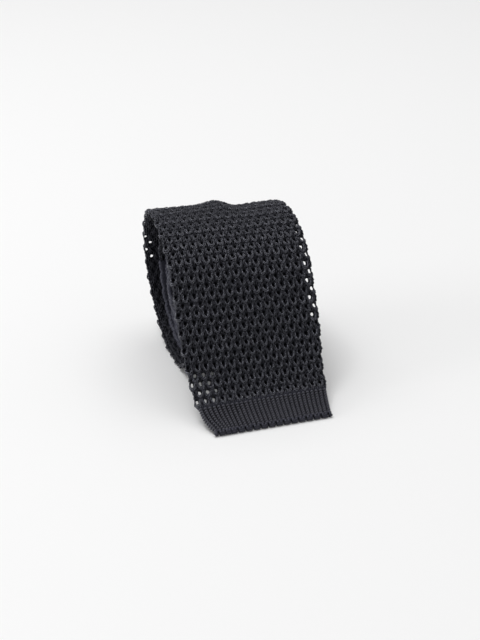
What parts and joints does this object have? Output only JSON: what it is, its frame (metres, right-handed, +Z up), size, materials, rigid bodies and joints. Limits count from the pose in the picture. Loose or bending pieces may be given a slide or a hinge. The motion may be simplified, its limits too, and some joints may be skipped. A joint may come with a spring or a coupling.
{
  "type": "necktie",
  "caption": "Knitted square-end necktie rolled from its narrow end, its open-mesh wide blade hanging free to a ribbed end band.",
  "frame": {"origin": "on the surface the roll stands on, under the middle of the part's box", "axes": "+X along the roll's axis towards its right end, -Y towards the free square end, +Z up"},
  "size_m": [0.06, 0.1031, 0.0674],
  "materials": {
    "mesh_knit": "open-mesh knitted silk, soft sheen",
    "rib_knit": "fine ribbed knitted silk, soft sheen",
    "thread": "twisted silk thread",
    "satin": "woven satin"
  },
  "bodies": {
    "roll": {"front_blade": "mesh_knit", "composition_label": "satin", "label_stitches": "thread", "front_neck_row": "thread", "neckband": "mesh_knit", "neck_ribbon": "satin", "rear_neck_row": "thread", "rear_blade": "mesh_knit", "rear_link_row": "thread", "rear_end_band": "rib_knit", "rear_edge_row": "thread"},
    "top_turn": {"blade_top_turn": "mesh_knit", "keeper_loop": "rib_knit", "keeper_tacks": "thread"},
    "free_end": {"blade_free_end": "mesh_knit"},
    "square_end": {"front_link_row": "thread", "front_end_band": "rib_knit", "front_edge_row": "thread"}
  },
  "joints": [
    {"name": "top_turn_peel", "type": "hinge", "parent": "roll", "child": "top_turn", "pos_m": [0, 0.03956, 0.05857], "axis": [-1, 0, 0], "range_deg": [0, 35]},
    {"name": "free_end_lift", "type": "hinge", "parent": "top_turn", "child": "free_end", "pos_m": [0, -0.01438, 0.04893], "axis": [-1, 0, 0], "range_deg": [0, 75]},
    {"name": "square_end_fold", "type": "hinge", "parent": "free_end", "child": "square_end", "pos_m": [0, -0.0393, 0.00819], "axis": [-1, 0, 0], "range_deg": [0, 70]}
  ]
}
